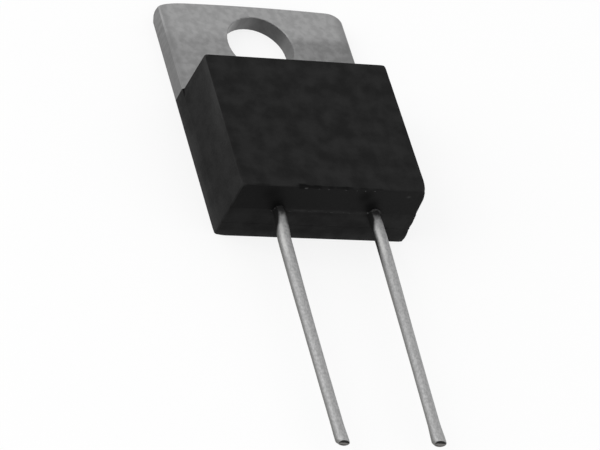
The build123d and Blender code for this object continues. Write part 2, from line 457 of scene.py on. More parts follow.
@dataclass(frozen=True)
class PlatedCopper:
    """Stamped copper sheet, nickel plated: satin grey, faintly clouded.

    The sheared edges and the wall of the punched hole are rough under their plating, so
    they look duller and darker than the rolled faces. The hole's wall also has painted shade
    where it faces the upper right and a painted highlight on its left; a band in front of the
    case is a painted reflection of the dark case, and the roll-over that looks left has painted
    shade over its highlight lower down.
    """

    shape: PartShape
    name: str = "copper_stamped_plated"  # satin, soft reflections without an image in them
    base: str = "#a0a0a0"
    cloud: str = "#969696"
    case_reflection: str = "#868686"  # painted reflection of the dark case, in a band in front of it
    case_reflection_cloud: str = "#7a7a7a"
    sheared: str = "#747474"
    punched: str = "#757575"
    torn: str = "#5a5a5a"  # painted shade on the hole's wall where it faces the upper right
    painted_highlight: str = "#b4b4b4"  # painted highlight on the left side of the hole's wall
    roughness: float = 0.55
    roughness_swing: float = 0.04
    cloud_mm: float = 0.34
    reflection_mm: float = 3.6  # width of the band of painted reflection in front of the case
    reflection_blur_mm: float = 0.35
    reflection_skew: float = 0.035  # rise of the band's border for each millimetre to the right
    reflection_cover: Limits = (-3.0 * MM, 5.0 * MM, 0.45, 1.0)  # x and cover, left and right
    shear_mm: float = 0.09  # streaks that the punch leaves across the thickness
    left_strip: Limits = (-4.55 * MM, -4.9 * MM, 0.0, 0.3)  # duller strips beside the edges
    right_strip: Limits = (4.4 * MM, 4.95 * MM, 0.0, 0.55)
    streak_cover: Limits = (-1.0 * MM, 1.5 * MM, 0.12, 0.35)  # y and cover, low and high
    wall: Limits = (0.45, 0.15)  # how far a face may look up or down to be a sheared edge
    rolled: Limits = (0.97, 0.999)  # how far it has to look up to be a rolled face
    rim: Limits = (0.1, 0.4)  # the same for the roll-over
    rim_turn: Limits = (-0.2, -0.4)  # how far the roll-over looks to the left
    rim_low: Limits = (1.8 * MM, -0.6 * MM)  # y where the painted shade sets in, and where it is full
    near_wall: Limits = (1.06, 1.02)  # radii of the hole within which a face is its wall
    wall_shade_side: Limits = (0.98, 0.75)  # along the direction in which the wall is in painted shade
    highlight_side: Limits = (-0.5 * MM, -1.75 * MM)  # x
    wall_shade_towards: tuple[float, float, float] = (0.574, 0.819, 0.0)  # seen from the hole's middle
    rim_shade_cover: float = 0.7  # share of painted shade over the highlight on the roll-over that looks left, at the right of the hole and down the tab's left edge

    def build(self) -> Material:
        """Build the material: clouded faces, streaked shear edges and the hole's wall.

        Returns:
            The material.
        """
        material, tree = new_material(self.name)
        clouds = mottle(tree, self.cloud_mm, 5.0)
        layers = Layers(tree, linear(self.base))
        layers.lay(self.cloud, clouds)
        place, turn = coordinates(tree), facing(tree)
        across, along, up = place[Axis.X], place[Axis.Y], turn[Axis.Z]
        # painted reflection of the dark case in a band in front of it, its border rising and its cover
        # growing to the right
        limit, blur = self.shape.shoulder + self.reflection_mm * MM, self.reflection_blur_mm * MM
        skew = product(tree, across, self.reflection_skew)
        border = add_node(tree, MATH, {0: along, 1: skew}, operation="SUBTRACT").outputs[0]
        band = add_node(tree, FADE, {0: border, 1: limit + blur, 2: limit - blur}).outputs[0]
        case_reflection = Layers(tree, linear(self.case_reflection))
        case_reflection.lay(self.case_reflection_cloud, clouds)
        steep = add_node(tree, MATH, {0: up}, operation="ABSOLUTE").outputs[0]
        reflection_cover, left_strip, right_strip, streak_cover, edge, flat = (
            add_node(tree, FADE, {0: value, **dict(enumerate(limits, 1))}).outputs[0]
            for value, limits in (
                (across, self.reflection_cover), (across, self.left_strip), (across, self.right_strip),
                (along, self.streak_cover), (steep, self.wall), (up, self.rolled)))
        layers.lay(case_reflection.colour, band, reflection_cover)

        strips = add_node(tree, MATH, {0: left_strip, 1: right_strip}, operation="MAXIMUM").outputs[0]
        layers.lay(self.sheared, strips, flat)
        streaked = Layers(tree, linear(self.sheared))
        streaked.lay(self.base, mottle(tree, self.shear_mm, 2.0, (1, 1, 8)))
        sheared = Layers(tree, linear(self.sheared))
        sheared.lay(streaked.colour, streak_cover)
        layers.lay(sheared.colour, edge)

        # the hole's wall, with its painted shade and painted highlight
        layers.lay(self.hole_wall(tree, across), edge, self.near_hole(tree))
        # painted shade over the highlight on the roll-over that looks left, from y 1.8 mm downwards
        rim = [add_node(tree, FADE, {0: value, **dict(enumerate(limits, 1))}).outputs[0]
               for value, limits in ((turn[Axis.X], self.rim_turn), (up, self.rim), (along, self.rim_low))]
        layers.lay(self.sheared, *rim, self.rim_shade_cover)
        smoothest, roughest = self.roughness - self.roughness_swing, self.roughness + self.roughness_swing
        roughness = add_node(tree, FADE, {0: clouds, 1: 0.0, 2: 1.0, 3: smoothest, 4: roughest}).outputs[0]
        finish_material(tree, Base_Color=layers.colour, Roughness=roughness, Metallic=1.0)
        return material

    def near_hole(self, tree: Tree) -> Socket:
        """Mask the wall of the hole.

        Args:
            tree: The material's tree.

        Returns:
            The mask: 1 at the wall, 0 away from it.
        """
        place = add_node(tree, "ShaderNodeTexCoord").outputs["Object"]
        flat = add_node(tree, VECTOR, {0: place, 1: (1, 1, 0)}, operation="MULTIPLY").outputs[0]
        reach = add_node(tree, VECTOR, {0: flat}, operation="LENGTH").outputs["Value"]
        outer, inner = (self.shape.hole_radius * share for share in self.near_wall)
        return add_node(tree, FADE, {0: reach, 1: outer, 2: inner}).outputs[0]

    def hole_wall(self, tree: Tree, across: Socket) -> Socket:
        """Colour the wall of the hole: painted shade where it faces the upper right, a painted highlight on
        the left.

        Args:
            tree: The material's tree.
            across: Coordinate along X.

        Returns:
            The colour.
        """
        place = add_node(tree, "ShaderNodeTexCoord").outputs["Object"]
        # painted shade falls on the part of the wall that faces this way
        torn = {0: place, 1: Vector(self.wall_shade_towards) / self.shape.hole_radius}
        towards = add_node(tree, VECTOR, torn, operation="DOT_PRODUCT").outputs["Value"]
        whole, painted_highlight = (
            add_node(tree, FADE, {0: value, **dict(enumerate(limits, 1))}).outputs[0]
            for value, limits in ((towards, self.wall_shade_side), (across, self.highlight_side)))
        wall = Layers(tree, linear(self.torn))
        wall.lay(self.punched, whole)
        wall.lay(self.painted_highlight, painted_highlight)
        return wall.colour


@dataclass(frozen=True)
class TinnedWire:
    """Tinned copper wire: satin grey with a fine mottle where the tin froze.

    Near the case, dark strips along its sides and a collar at its foot are painted shade and a
    painted reflection of the dark case. Its lower left side carries painted shade, and a painted
    highlight lies on it a little way out. The mesh stores how far each point is out of the case
    and where it lies across the wire, from -1 to 1.
    """

    side: Side
    bare_left: float  # where across the wire the left dark strip ends at the case
    run_out: float  # how fast it draws back, for each millimetre squared
    tail: float  # where the thin dark strip lies that is left further out
    bare_right: float  # where the right dark strip begins
    base: str = "#acacac"
    cloud: str = "#989898"
    shaded: str = "#7c7c7a"  # painted shade on the wire's lower left side
    painted_highlight: str = "#dcdcda"  # painted highlight a little way out of the case
    highlight_cover: float = 0.4
    # painted shade and painted reflection of the dark case near it, laid as a dull non-metal skin
    skin: str = "#1a1a1a"
    case_shade_blur: float = 0.32
    ragged: float = 0.5  # how far the dark strip's edge wanders
    wander_mm: float = 0.4  # length over which it does
    tail_mm: Limits = (1.6, 4.4)  # out of the case, where the tail thins out
    beside: float = -1.5  # a place beside the wire, where no dark strip is left
    narrowing: float = 0.5  # how fast the right dark strip draws back, for each millimetre
    foot_mm: Limits = (0.75, 0.15, 0.0, 0.97)  # the collar of painted shade: two places out of the case and its cover
    shaded_across: Limits = (-0.45, -1.0)
    highlight_mm: Limits = (0.6, 1.4, 3.4, 1.9)  # out of the case: where the painted highlight sets in and ends
    highlight_across: Limits = (0.5, 0.1)  # from the middle of the painted highlight
    highlight_shift: float = 0.1  # how far that is to the left
    roughness: float = 0.62
    specular: float = 0.05
    mottle_mm: float = 0.09
    lump_mm: float = 0.35
    lump_height_mm: float = 0.008

    def build(self) -> Material:
        """Build the material: mottle of the tin, small lumps in it and the skin of resin.

        Returns:
            The material.
        """
        material, tree = new_material(f"wire_tinned_{self.side.value}")
        layers = Layers(tree, linear(self.base))
        layers.lay(self.cloud, mottle(tree, self.mottle_mm, 2.0, (1, 1.6, 1)))
        across, out = (add_node(tree, "ShaderNodeAttribute", attribute_name=name).outputs["Fac"]
                       for name in ("across", "out"))
        out = product(tree, out, 1 / MM)
        shifted = add_node(tree, MATH, {0: across, 1: self.highlight_shift}, operation="ADD").outputs[0]
        from_middle = add_node(tree, MATH, {0: shifted}, operation="ABSOLUTE").outputs[0]
        shaded, *lightened = (
            add_node(tree, FADE, {0: value, **dict(enumerate(limits, 1))}).outputs[0]
            for value, limits in (
                (across, self.shaded_across), (out, self.highlight_mm[:2]),
                (out, self.highlight_mm[2:]), (from_middle, self.highlight_across)))
        # painted shade on the lower left side, then a painted highlight a little way out
        layers.lay(self.shaded, shaded)
        layers.lay(self.painted_highlight, *lightened, self.highlight_cover)
        # painted shade and reflection of the case near its exit, not metal
        skin = self.case_shade_mask(tree, across, out)
        layers.lay(self.skin, skin)
        lumps = noise_field(tree, self.lump_mm, 2.0, (1, 3, 1), 5.0)
        bump = add_node(tree, "ShaderNodeBump", {
            "Height": lumps, "Strength": 1.0, "Distance": self.lump_height_mm * MM})
        metal = add_node(tree, MATH, {0: 1.0, 1: skin}, operation="SUBTRACT").outputs[0]
        finish_material(tree, Base_Color=layers.colour, Roughness=self.roughness,
                        Specular_IOR_Level=self.specular, Metallic=metal, Normal=bump.outputs[0])
        return material

    def case_shade_mask(self, tree: Tree, across: Socket, out: Socket) -> Socket:
        """Mask the painted shade and reflection near the case: a strip on each side and a collar at the foot.

        Args:
            tree: The material's tree.
            across: Place across the wire, from -1 to 1.
            out: Millimetres out of the case.

        Returns:
            The mask.
        """
        wander = noise_field(tree, self.wander_mm, 2.0, shift=9.0)
        centred = add_node(tree, MATH, {0: wander, 1: 0.5}, operation="SUBTRACT").outputs[0]
        ragged = product(tree, centred, self.ragged)
        place = add_node(tree, MATH, {0: across, 1: ragged}, operation="ADD").outputs[0]
        drawn = product(tree, out, out, self.run_out)
        drawn_back = add_node(tree, MATH, {0: self.bare_left, 1: drawn}, operation="SUBTRACT").outputs[0]
        start, end = self.tail_mm
        tail = add_node(tree, FADE, {0: out, 1: start, 2: end, 3: self.tail, 4: self.beside}).outputs[0]
        border = add_node(tree, MATH, {0: drawn_back, 1: tail}, operation="MAXIMUM").outputs[0]
        narrowed = product(tree, out, self.narrowing)
        bare = add_node(tree, MATH, {0: self.bare_right, 1: narrowed}, operation="ADD").outputs[0]
        strips = []
        for limits in ({0: border, 1: place}, {0: place, 1: bare}):
            past = add_node(tree, MATH, limits, operation="SUBTRACT").outputs[0]
            strips.append(add_node(tree, FADE, {0: past, 1: -self.case_shade_blur, 2: self.case_shade_blur}).outputs[0])
        reach = add_node(tree, MATH, {0: out, 1: ragged}, operation="ADD").outputs[0]
        foot = add_node(tree, FADE, {0: reach, **dict(enumerate(self.foot_mm, 1))}).outputs[0]
        both = add_node(tree, MATH, dict(enumerate(strips)), operation="MAXIMUM").outputs[0]
        return add_node(tree, MATH, {0: both, 1: foot}, operation="MAXIMUM").outputs[0]


@dataclass(frozen=True)
class ShearedWire:
    """Cut end of the wire: bright where the blade slid, dark and torn where the wire broke off."""

    name: str = "wire_sheared"
    slid: str = "#807e7c"
    torn: str = "#1c1b1a"
    slope: float = 0.3  # how much further down the torn part reaches on the right
    ragged: float = 0.8
    grain_mm: float = 0.12
    border: Limits = (0.05, 0.4)  # rise at which the torn part begins
    roughness: float = 0.6

    def build(self) -> Material:
        """Build the material: the torn part is the upper right of the cut.

        Returns:
            The material.
        """
        material, tree = new_material(self.name)
        rise, across = (add_node(tree, "ShaderNodeAttribute", attribute_name=name).outputs["Fac"]
                        for name in ("rise", "across"))
        sloped = product(tree, across, self.slope)
        height = add_node(tree, MATH, {0: rise, 1: sloped}, operation="ADD").outputs[0]
        broken = product(tree, noise_field(tree, self.grain_mm, 2.0), self.ragged)
        reach = add_node(tree, MATH, {0: height, 1: broken}, operation="ADD").outputs[0]
        layers = Layers(tree, linear(self.slid))
        limits = dict(enumerate(self.border, 1))
        layers.lay(self.torn, add_node(tree, FADE, {0: reach, **limits}).outputs[0])
        finish_material(tree, Base_Color=layers.colour, Roughness=self.roughness, Metallic=1.0)
        return material


@dataclass(frozen=True)
class Fired:
    """A layer or block of the sealed element: one tone with a fine grain of another."""

    name: str
    base: str
    grain: str
    grain_mm: float
    roughness: float
    metallic: float = 0.0
    specular: float = 0.5
    roughness_swing: float = 0.05

    def build(self) -> Material:
        """Build the material: a grain in the colour and in the roughness.

        Returns:
            The material.
        """
        material, tree = new_material(self.name)
        grain = mottle(tree, self.grain_mm, 3.0, limits=(0.35, 0.65, 0.0, 1.0))
        layers = Layers(tree, linear(self.base))
        layers.lay(self.grain, grain)
        smoothest, roughest = self.roughness - self.roughness_swing, self.roughness + self.roughness_swing
        roughness = add_node(tree, FADE, {0: grain, 1: 0.0, 2: 1.0, 3: smoothest, 4: roughest}).outputs[0]
        finish_material(tree, Base_Color=layers.colour, Roughness=roughness, Metallic=self.metallic,
                        Specular_IOR_Level=self.specular)
        return material


# ---------------------------------------------------------------- stage, lights, camera


@dataclass
class Studio:
    """Plain pale floor and plain soft light."""

    floor_size: float = 1.2
    floor_colour: str = "#fcfcfc"
    paper_white: str = "#ffffff"
    paper_glow: float = 0.8  # how far the paper's shadows are lifted towards its white
    fill: float = 0.8  # of the world, where 1 is white paper in full light
    backdrop: float = 1.0
    key_place: tuple[float, float, float] = (-0.34, 0.02, 0.22)
    key_side: float = 0.3
    key_watts: float = 0.64

    def build(self) -> None:
        """Lay the floor, set the world and hang the lamp."""
        half = self.floor_size / 2
        mesh = bpy.data.meshes.new("floor")
        corners = [(-half, -half, 0), (half, -half, 0), (half, half, 0), (-half, half, 0)]
        mesh.from_pydata(corners, [], [(0, 1, 2, 3)])
        floor = bpy.data.objects.new("floor", mesh)
        bpy.context.scene.collection.objects.link(floor)
        material, tree = new_material("backdrop_paper_matt")
        shader = add_node(tree, "ShaderNodeBsdfDiffuse", {"Color": linear(self.floor_colour)})
        white = add_node(tree, "ShaderNodeEmission", {"Color": linear(self.paper_white), "Strength": 1.0})
        share = product(tree, self.seen_directly(tree), self.paper_glow)
        paper = add_node(tree, "ShaderNodeMixShader", {0: share, 1: shader.outputs[0], 2: white.outputs[0]})
        add_node(tree, "ShaderNodeOutputMaterial", {"Surface": paper.outputs[0]})
        mesh.materials.append(material)
        self.hang_world()
        self.hang_key()

    def hang_world(self) -> None:
        """Light the part with a soft world that the camera and reflections see as white."""
        world = bpy.data.worlds.new("studio")
        world.use_nodes = True
        tree = world.node_tree
        tree.nodes.clear()
        strengths = {0: self.seen_directly(tree), 1: 0.0, 2: 1.0, 3: self.fill, 4: self.backdrop}
        strength = add_node(tree, FADE, strengths).outputs[0]
        background = add_node(tree, "ShaderNodeBackground", {"Color": (1, 1, 1, 1), "Strength": strength})
        add_node(tree, "ShaderNodeOutputWorld", {"Surface": background.outputs[0]})
        bpy.context.scene.world = world

    def seen_directly(self, tree: Tree) -> Socket:
        """Tell rays of the camera, of reflections and of glass from the others.

        Args:
            tree: Tree of the world or of a material.

        Returns:
            1 for these rays, and 0 for others.
        """
        path = add_node(tree, "ShaderNodeLightPath").outputs
        seen = path["Is Camera Ray"]
        for kind in ("Is Glossy Ray", "Is Transmission Ray"):
            seen = add_node(tree, MATH, {0: seen, 1: path[kind]}, operation="MAXIMUM").outputs[0]
        return seen

    def hang_key(self) -> None:
        """Hang the square softbox that faces the part."""
        data = bpy.data.lights.new("key_softbox", "AREA")
        data.size = self.key_side
        data.energy = self.key_watts
        lamp = bpy.data.objects.new("key_softbox", data)
        lamp.location = self.key_place
        lamp.rotation_euler = (-Vector(self.key_place)).to_track_quat("-Z", "Y").to_euler()
        bpy.context.scene.collection.objects.link(lamp)


@dataclass
class Viewpoint:
    """Camera on the part, given by where it looks from and how it is rolled."""

    aim_mm: Vector = field(default_factory=lambda: Vector((-1.548, -12.257, 1.944)))
    azimuth: float = -38.055
    elevation: float = 44.609
    roll: float = 31.013
    distance_mm: float = 160.517
    lens: float = 202.81
    sensor: float = 36.0

    def build(self) -> None:
        """Place the camera and make it the scene's own."""
        turn, rise = math.radians(self.azimuth), math.radians(self.elevation)
        back = Vector((math.sin(turn) * math.cos(rise), -math.cos(turn) * math.cos(rise), math.sin(rise)))
        data = bpy.data.cameras.new("camera")
        data.lens = self.lens
        data.sensor_width = self.sensor
        data.clip_start, data.clip_end = 0.01, 10.0
        camera = bpy.data.objects.new("camera", data)
        upright = (-back).to_track_quat("-Z", "Y").to_matrix().to_4x4()
        rolled = upright @ Matrix.Rotation(math.radians(self.roll), 4, "Z")
        place = (self.aim_mm + back * self.distance_mm) * MM
        camera.matrix_world = Matrix.Translation(place) @ rolled
        bpy.context.scene.collection.objects.link(camera)
        bpy.context.scene.camera = camera


# ---------------------------------------------------------------- making pieces


def smooth(value: float, start: float, end: float) -> float:
    """Return a smooth step that runs from 0 at one value to 1 at another."""
    share = min(1.0, max(0.0, (value - start) / (end - start)))
    return share * share * (3 - 2 * share)


def unit_noise(place: Vector) -> float:
    """Return a smooth noise of a place, from 0 to 1."""
    return 0.5 + 0.5 * noise.noise(place)


def link_piece(name: str, mesh: bpy.types.Mesh) -> Piece:
    """Link a mesh as a piece of the object and let it ride with the part.

    Args:
        name: Name of the piece.
        mesh: Its mesh, in the part's frame.

    Returns:
        The piece.
    """
    piece = bpy.data.objects.new(name, mesh)
    mesh.name = name
    bpy.context.scene.collection.objects.link(piece)
    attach(piece, "root")
    LOG.info("%s: %d faces", name, len(mesh.polygons))
    return piece


def dress(node: str, material: Material) -> None:
    """Give a CAD node its finish.

    Args:
        node: Name of the node.
        material: Its finish.
    """
    data = frame["nodes"][node].data
    data.materials.clear()
    data.materials.append(material)
    LOG.info("%s: %s", node, material.name)


class RuleTree:
    """A Geometry Nodes tree with named inputs, from which meshes are grown."""

    def __init__(self, name: str) -> None:
        """Make an empty tree with a geometry input and output.

        Args:
            name: Name of the tree.
        """
        self.tree: Tree = bpy.data.node_groups.new(name, "GeometryNodeTree")
        self.tree.interface.new_socket("Geometry", in_out="INPUT", socket_type="NodeSocketGeometry")
        self.tree.interface.new_socket("Geometry", in_out="OUTPUT", socket_type="NodeSocketGeometry")
        self.group_input = add_node(self.tree, "NodeGroupInput")
        self.identifiers: dict[str, str] = {}

    def value(self, name: str, kind: str = "Float") -> Socket:
        """Add a named input and return its socket inside the tree.

        Args:
            name: Name of the input.
            kind: Kind of the socket, such as Float, Int, Vector or Material.

        Returns:
            The output socket of the group's input node.
        """
        item = self.tree.interface.new_socket(name, in_out="INPUT", socket_type=f"NodeSocket{kind}")
        self.identifiers[name] = item.identifier
        return next(s for s in self.group_input.outputs if s.identifier == item.identifier)

    def finish(self, geometry: Socket, material: Socket,
               second: tuple[Socket, Socket] | None = None) -> None:
        """End the tree in real geometry with its material.

        Args:
            geometry: What the tree has made.
            material: Material of the whole.
            second: A selection of faces and the material they get instead.
        """
        real = add_node(self.tree, "GeometryNodeRealizeInstances", {"Geometry": geometry})
        dressed = add_node(self.tree, "GeometryNodeSetMaterial", {
            "Geometry": real.outputs[0], "Material": material})
        if second:
            dressed = add_node(self.tree, "GeometryNodeSetMaterial", {
                "Geometry": dressed.outputs[0], "Selection": second[0], "Material": second[1]})
        add_node(self.tree, "NodeGroupOutput", {0: dressed.outputs[0]})

    def grow(self, inputs: dict[str, Any]) -> bpy.types.Mesh:
        """Evaluate the tree with its inputs.

        Args:
            inputs: Each named input's value.

        Returns:
            The result as a plain mesh.
        """
        seed = bpy.data.objects.new("seed", bpy.data.meshes.new("seed"))
        bpy.context.scene.collection.objects.link(seed)
        modifier = seed.modifiers.new("rule", "NODES")
        modifier.node_group = self.tree
        for name, value in inputs.items():
            modifier[self.identifiers[name]] = value
        bpy.context.view_layer.update()
        evaluated = seed.evaluated_get(bpy.context.evaluated_depsgraph_get())
        mesh = bpy.data.meshes.new_from_object(evaluated)
        bpy.data.objects.remove(seed)
        return mesh


# ---------------------------------------------------------------- moulded case


@dataclass(frozen=True)
class Chip:
    """A chip out of the front edge at the lead end, in millimetres."""

    place: float  # x of its middle
    half_length: float
    depth: float

    def depth_at(self, x: float) -> float:
        """Return how deep the chip is at a station along the edge."""
        return self.depth * max(0.0, 1.0 - ((x - self.place) / self.half_length) ** 2) ** 0.5


@dataclass
class CaseMoulding:
    """The moulded case with its worn edges: the CAD solid, cut finer and rubbed down."""

    shape: PartShape
    grid_mm: float = 0.13
    ring_mm: tuple[float, ...] = (0.03, 0.09, 0.18)
    wear_reach_mm: float = 0.13
    wear_depth_mm: float = 0.022
    rub_reach_mm: float = 0.16
    foot_rub: float = 3.0  # how much wider the edges are rubbed at the back,
    left_rub_and_sheen: float = 2.0  # on the left side, where the wider band is painted sheen
    plain_rub: float = 0.8  # and elsewhere
    foot_mm: float = 0.5  # height from which the left side's edges carry that painted sheen,
    left_sheen_from_mm: float = 2.8  # height from which the left side's edges are rubbed,
    left_sheen_corner_mm: Limits = (1.9, -10.9)  # and z and y below which they are again
    even_wear: float = 0.3  # least wear of an edge, against which the rest varies
    fine_wear: float = 0.6
    ripple_mm: float = 0.004  # unevenness of the moulded faces
    ledge_run_mm: float = 1.5  # height over which the side ledges fade
    witness_run_mm: float = 0.3  # height over which the insert's ledge fades
    witness_step_mm: float = 0.045
    least_step: float = 0.2  # share of that step within which a point counts as up on it
    lead_end_draft: float = 3.2
    joint_mm: float = 0.045  # half height of the band where the courses meet
    seat_mm: float = 0.01  # height within which a face that looks down is the mounting face
    shoulder_mm: float = 0.1  # the same for faces that look at the tab
    edge_step_mm: float = 0.04  # spacing of the points that mark the edges
    flat_angle: float = 0.002  # between faces that count as one
    least_edge: float = math.radians(8)
    crease: float = math.radians(35)
    ledge_start_mm: Limits = (0.1, 0.6)  # below the shoulder, where the side ledges set in
    end_zone_mm: float = 0.4  # of the lead end, within which the lead holes are moved
    bottom_zone_mm: float = 0.15
    hole_pull_mm: float = 0.5  # how far round a lead its hole's move reaches
    merge_mm: float = 0.002
    rough_per_mm: float = 2.3  # how fast the wear changes along an edge
    fine_per_mm: float = 7.0
    ripple_per_mm: float = 1.1
    ragged_per_mm: float = 6.0
    ragged_depth: Limits = (0.75, 0.5)  # of a chip against its plain depth: mean and swing
    chip_zone_mm: float = 0.3  # from the front edge at the lead end
    chip_push: float = 0.8  # how far a chip's floor is pushed in, as a share of its depth
    shaded_chip_mm: float = 0.06  # depth from which a chip is fully dark with painted shade
    chips: tuple[Chip, ...] = (
        Chip(-1.72, 0.34, 0.15), Chip(-1.05, 0.42, 0.1), Chip(-0.3, 0.4, 0.07),
        Chip(0.45, 0.5, 0.08), Chip(1.5, 0.35, 0.04), Chip(2.2, 0.3, 0.04), Chip(-3.9, 0.5, 0.03),
    )

    def build(self, material: Material, leads: list["WireLead"]) -> Piece:
        """Build the case in place of its CAD node.

        Args:
            material: Its finish.
            leads: The two leads that come out of it.

        Returns:
            The piece.
        """
        mesh = bmesh.new()
        mesh.from_mesh(frame["nodes"]["moulded_case"].data)
        bmesh.ops.remove_doubles(mesh, verts=mesh.verts, dist=SAME_PLACE)
        bmesh.ops.dissolve_limit(mesh, angle_limit=self.flat_angle, verts=mesh.verts, edges=mesh.edges)
        self.mark_outside(mesh)
        edges = self.edge_points(mesh)
        self.cut(mesh)
        self.soften_ledges(mesh, leads)
        self.wear(mesh, edges)
        self.knock(mesh)
        for face in mesh.faces:
            face.smooth = True
            face.material_index = 0
        for edge in mesh.edges:
            edge.smooth = edge.is_manifold and edge.calc_face_angle(0.0) < self.crease
        data = bpy.data.meshes.new("case_moulding")
        mesh.to_mesh(data)
        mesh.free()
        data.materials.append(material)
        piece = link_piece("case_moulding", data)
        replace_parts(piece, "moulded_case")
        return piece

    def mark_outside(self, mesh: bmesh.types.BMesh) -> None:
        """Mark the faces that can be seen with material index 1, and the cavity's with 0.

        Args:
            mesh: The case.
        """
        tree = BVHTree.FromBMesh(mesh)
        for face in mesh.faces:
            centre, normal = face.calc_center_median(), face.normal
            clear = tree.ray_cast(centre + normal * HAIR, normal)[0] is None
            if normal.z < -TURNED:
                clear = centre.z < self.seat_mm * MM
            elif normal.y > TURNED:
                clear = clear and centre.y > self.shape.shoulder - self.shoulder_mm * MM
            face.material_index = int(clear)

    def edge_points(self, mesh: bmesh.types.BMesh) -> KDTree:
        """Sample the edges of the outside.

        Args:
            mesh: The case, with its outside marked.

        Returns:
            A search tree of points along the edges.
        """
        points = []
        for edge in mesh.edges:
            outside = [face for face in edge.link_faces if face.material_index == 1]
            joint = all(abs(v.co.z - self.shape.tab_thickness) < self.joint_mm * MM for v in edge.verts)
            if len(outside) < 2 or joint or edge.calc_face_angle_signed(0.0) < self.least_edge:
                continue
            start, end = (vertex.co for vertex in edge.verts)
            count = max(1, int((end - start).length / (self.edge_step_mm * MM)))
            points += [start.lerp(end, step / count) for step in range(count + 1)]
        tree = KDTree(len(points))
        for index, point in enumerate(points):
            tree.insert(point, index)
        tree.balance()
        return tree

    def cut(self, mesh: bmesh.types.BMesh) -> None:
        """Cut the outside faces into a fine grid, finest beside the edges.

        Args:
            mesh: The case, with its outside marked.
        """
        shape, step = self.shape, self.grid_mm * MM
        spans = {
            Axis.X: (-shape.face_half_width, shape.face_half_width),
            Axis.Y: (shape.face_bottom, shape.face_top),
            Axis.Z: (0.0, shape.front),
        }
        for axis, (low, high) in spans.items():
            count = int((high - low) / step)
            stations = [low + (high - low) * (index + 0.5) / count for index in range(count)]
            for ring in self.ring_mm:
                stations += [low + ring * MM, high - ring * MM]
            normal = Vector((0, 0, 0))
            normal[axis.value] = 1.0
            for station in sorted(stations):
                faces = [face for face in mesh.faces if face.material_index == 1]
                edges = {edge for face in faces for edge in face.edges}
                verts = {vertex for edge in edges for vertex in edge.verts}
                bmesh.ops.bisect_plane(mesh, geom=[*verts, *edges, *faces], dist=SAME_PLACE,
                                       plane_co=normal * station, plane_no=normal)

    def soften_ledges(self, mesh: bmesh.types.BMesh, leads: list["WireLead"]) -> None:
        """Fade the ledges into slopes and bring the lead holes to where the wires run.

        Args:
            mesh: The case, cut fine.
            leads: The two leads.
        """
        shape = self.shape
        lines = [(lead, LeadLine.read(lead.side)) for lead in leads]
        level = lines[0][1].start.z
        above_tab = [v for v in mesh.verts if v.co.z > shape.tab_thickness + SAME_PLACE]
        ledge = shape.half_width - max(abs(v.co.x) for v in above_tab)
        for vertex in mesh.verts:
            place = vertex.co.copy()
            joint = abs(place.z - shape.tab_thickness) < self.joint_mm * MM
            if not joint and all(face.material_index == 0 for face in vertex.link_faces):
                continue
            above = (place.z - shape.tab_thickness) / (self.ledge_run_mm * MM)
            if (joint or 0 < above < 1) and abs(place.x) > shape.face_half_width:
                down = (shape.shoulder - place.y) / MM
                fade = smooth(down, *self.ledge_start_mm) * (1 - max(0.0, above)) ** 2
                vertex.co.x += math.copysign(min(shape.half_width - abs(place.x), ledge) * fade, place.x)
            self.fade_witness(vertex, place, level, joint)
            if place.y < shape.case_bottom + self.end_zone_mm * MM:
                for lead, line in lines:
                    gap = math.hypot(place.x - line.start.x, place.z - line.start.z) - line.radius
                    vertex.co.x += lead.jog_mm * MM * (1 - smooth(gap / MM, 0.0, self.hole_pull_mm))
        bmesh.ops.remove_doubles(mesh, verts=mesh.verts, dist=self.merge_mm * MM)

    def fade_witness(self, vertex: bmesh.types.BMVert, place: Vector, level: float, joint: bool) -> None:
        """Fade the ledge that the mould insert leaves across the lead end.

        Args:
            vertex: The point that may move.
            place: Where it was.
            level: Height of the leads, where the ledge is sharp.
            joint: Whether the point lies where two courses meet.
        """
        bottom, step = self.shape.case_bottom, self.witness_step_mm * MM
        slope = math.tan(math.radians(self.lead_end_draft))
        below = (level - place.z) / (self.witness_run_mm * MM)
        front_course = bottom + step + place.z * slope
        if -1e-3 < below < 1 and place.y < front_course - self.least_step * step:
            vertex.co.y += min(step, front_course - place.y) * (1 - max(0.0, below)) ** 2
        near_bottom = place.y < bottom + self.bottom_zone_mm * MM
        if joint and near_bottom and abs(place.x) < self.shape.face_half_width:
            vertex.co.y = min(place.y, bottom + place.z * slope)

    def wear(self, mesh: bmesh.types.BMesh, edges: KDTree) -> None:
        """Rub the edges down, chip the front edge and store how much.

        Args:
            mesh: The case, cut fine.
            edges: Search tree of points on its edges.
        """
        mesh.normal_update()
        rub = mesh.verts.layers.float.new("rub")
        chip = mesh.verts.layers.float.new("chip")
        moves = {}
        for vertex in mesh.verts:
            seen = any(face.material_index == 1 for face in vertex.link_faces)
            if not seen or vertex.co.z < HAIR:
                continue
            place = vertex.co / MM
            distance = edges.find(vertex.co)[2] / MM
            near = max(0.0, 1.0 - distance / self.wear_reach_mm)
